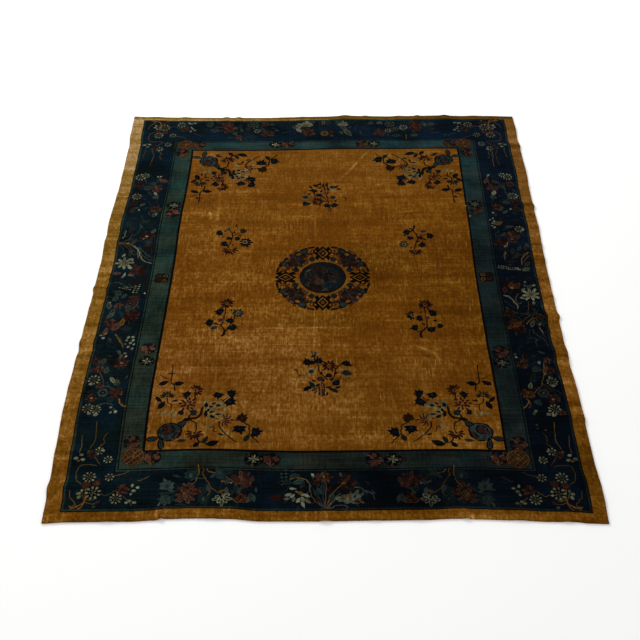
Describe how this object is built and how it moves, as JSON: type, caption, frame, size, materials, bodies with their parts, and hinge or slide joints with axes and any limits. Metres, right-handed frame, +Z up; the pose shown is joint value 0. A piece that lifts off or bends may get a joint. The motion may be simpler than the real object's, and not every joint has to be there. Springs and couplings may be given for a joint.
{
  "type": "rug",
  "caption": "Room-size hand-knotted wool rug lying flat, with uneven edges, small edge ripples, flower sprigs, a round centre medallion and nested borders.",
  "frame": {"origin": "on the floor, under the middle of the rug", "axes": "+X across the rug, +Y along it, from the near end to the far end, +Z up through the pile"},
  "size_m": [2.769, 3.487, 0.02],
  "materials": {
    "wool_pile": "cut wool pile in gold, navy and slate teal, worn and softly streaked"
  },
  "bodies": {
    "root": {"rug_pile": "wool_pile"}
  },
  "joints": []
}
